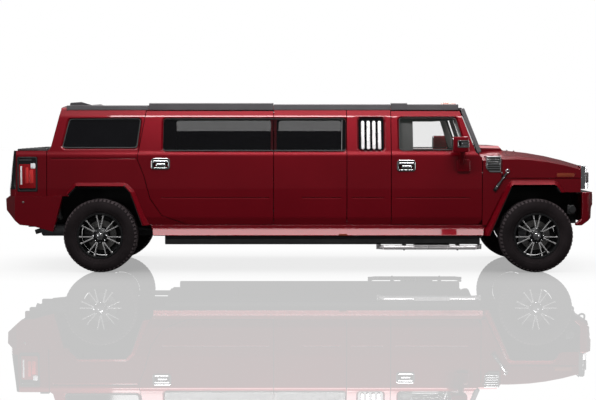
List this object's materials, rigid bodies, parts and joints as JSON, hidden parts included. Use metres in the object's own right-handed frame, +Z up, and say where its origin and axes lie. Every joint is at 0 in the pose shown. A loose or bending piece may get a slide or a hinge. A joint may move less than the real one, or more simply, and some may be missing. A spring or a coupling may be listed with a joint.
{
  "type": "stretch limousine",
  "caption": "Stretched four-door limousine with barred side vents, deep wheel-arch flares, slim-spoke wheels and a short covered load deck.",
  "frame": {"origin": "on the floor, midway between the bumpers and midway between the sides", "axes": "+X forward, +Y to the vehicle's left, +Z up"},
  "size_m": [7.04, 2.36, 2.026],
  "materials": {
    "body_paint": "deep burgundy metallic under clear coat",
    "clear_glass": "clear tempered glass",
    "dark_glass": "near-black privacy glass",
    "black_trim": "black textured trim",
    "roof_grey": "charcoal grey plastic",
    "chrome_trim": "bright chrome",
    "lamp_clear": "clear lens",
    "lamp_red": "red and clear lens",
    "lamp_amber": "amber lens",
    "tyre_rubber": "dark rubber",
    "rim_black": "black rim with bright slim spokes",
    "chassis_steel": "black painted steel",
    "engine_iron": "cast iron and alloy",
    "dash_plastic": "dark grained plastic",
    "seat_leather": "grey leather"
  },
  "bodies": {
    "body": {"chassis": "chassis_steel", "corner_posts": "black_trim", "cowl_vents": "chrome_trim", "dashboard": "dash_plastic", "exhaust": "chassis_steel", "floor_tub": "black_trim", "front_bumper": "body_paint", "front_fenders": "body_paint", "front_seats": "seat_leather", "front_suspension": "chassis_steel", "fuel_tank": "chassis_steel", "grille": "chrome_trim", "headlamps": "lamp_clear", "marker_lamps": "lamp_amber", "partition": "dash_plastic", "powertrain": "engine_iron", "privacy_glass": "dark_glass", "quarter_panels": "body_paint", "rear_axle": "chassis_steel", "rear_bumper": "body_paint", "rear_wall": "body_paint", "rock_rails": "black_trim", "roof": "body_paint", "roof_rails": "roof_grey", "salon_benches": "seat_leather", "side_panels": "body_paint", "sills": "body_paint", "step_tubes": "chrome_trim", "tail_lamps": "lamp_red", "vent_bars": "chrome_trim", "windshield": "clear_glass", "windshield_frame": "roof_grey"},
    "knuckle_right": {"knuckle_right": "chassis_steel"},
    "wheel_front_right": {"tyre_front_right": "tyre_rubber", "rim_front_right": "rim_black"},
    "door_front_right": {"door_front_right": "body_paint", "glass_front_right": "clear_glass", "mirror_right": "body_paint"},
    "wheel_rear_right": {"tyre_rear_right": "tyre_rubber", "rim_rear_right": "rim_black"},
    "door_rear_right": {"door_rear_right": "body_paint", "glass_rear_right": "dark_glass"},
    "knuckle_left": {"knuckle_left": "chassis_steel"},
    "wheel_front_left": {"tyre_front_left": "tyre_rubber", "rim_front_left": "rim_black"},
    "door_front_left": {"door_front_left": "body_paint", "glass_front_left": "clear_glass", "mirror_left": "body_paint"},
    "wheel_rear_left": {"tyre_rear_left": "tyre_rubber", "rim_rear_left": "rim_black"},
    "door_rear_left": {"door_rear_left": "body_paint", "glass_rear_left": "dark_glass"},
    "hood": {"hood": "body_paint"},
    "tailgate": {"tailgate": "body_paint"},
    "deck_lid": {"deck_lid": "black_trim"},
    "steering_wheel": {"steering_wheel": "dash_plastic"}
  },
  "joints": [
    {"name": "steer_right", "type": "hinge", "parent": "body", "child": "knuckle_right", "pos_m": [2.78, -0.79, 0.436], "axis": [0, 0, 1], "range_deg": [-30, 30]},
    {"name": "spin_front_right", "type": "hinge", "parent": "knuckle_right", "child": "wheel_front_right", "pos_m": [2.78, -0.87, 0.436], "axis": [0, 1, 0], "continuous": true},
    {"name": "spin_rear_right", "type": "hinge", "parent": "body", "child": "wheel_rear_right", "pos_m": [-2.38, -0.87, 0.436], "axis": [0, 1, 0], "continuous": true},
    {"name": "door_front_right_hinge", "type": "hinge", "parent": "body", "child": "door_front_right", "pos_m": [2.133, -0.975, 1], "axis": [0, 0, 1], "range_deg": [0, 65]},
    {"name": "door_rear_right_hinge", "type": "hinge", "parent": "body", "child": "door_rear_right", "pos_m": [-0.333, -0.975, 1], "axis": [0, 0, 1], "range_deg": [0, 60]},
    {"name": "steer_left", "type": "hinge", "parent": "body", "child": "knuckle_left", "pos_m": [2.78, 0.79, 0.436], "axis": [0, 0, 1], "range_deg": [-30, 30]},
    {"name": "spin_front_left", "type": "hinge", "parent": "knuckle_left", "child": "wheel_front_left", "pos_m": [2.78, 0.87, 0.436], "axis": [0, 1, 0], "continuous": true},
    {"name": "spin_rear_left", "type": "hinge", "parent": "body", "child": "wheel_rear_left", "pos_m": [-2.38, 0.87, 0.436], "axis": [0, 1, 0], "continuous": true},
    {"name": "door_front_left_hinge", "type": "hinge", "parent": "body", "child": "door_front_left", "pos_m": [2.133, 0.975, 1], "axis": [0, 0, 1], "range_deg": [-65, 0]},
    {"name": "door_rear_left_hinge", "type": "hinge", "parent": "body", "child": "door_rear_left", "pos_m": [-0.333, 0.975, 1], "axis": [0, 0, 1], "range_deg": [-60, 0]},
    {"name": "hood_hinge", "type": "hinge", "parent": "body", "child": "hood", "pos_m": [3.302, 0, 1.272], "axis": [0, 1, 0], "range_deg": [0, 45]},
    {"name": "tailgate_hinge", "type": "hinge", "parent": "body", "child": "tailgate", "pos_m": [-3.461, 0, 0.985], "axis": [0, -1, 0], "range_deg": [0, 90]},
    {"name": "deck_lid_hinge", "type": "hinge", "parent": "body", "child": "deck_lid", "pos_m": [-2.975, 0, 1.462], "axis": [0, 1, 0], "range_deg": [0, 75]},
    {"name": "steering_wheel_turn", "type": "hinge", "parent": "body", "child": "steering_wheel", "pos_m": [1.727, 0.43, 1.158], "axis": [-0.9642, 0, 0.2651], "range_deg": [-480, 480]}
  ],
  "couplings": [
    {"joint": "steer_left", "follows": "steer_right", "ratio": 1},
    {"joint": "steering_wheel_turn", "follows": "steer_right", "ratio": 16}
  ]
}
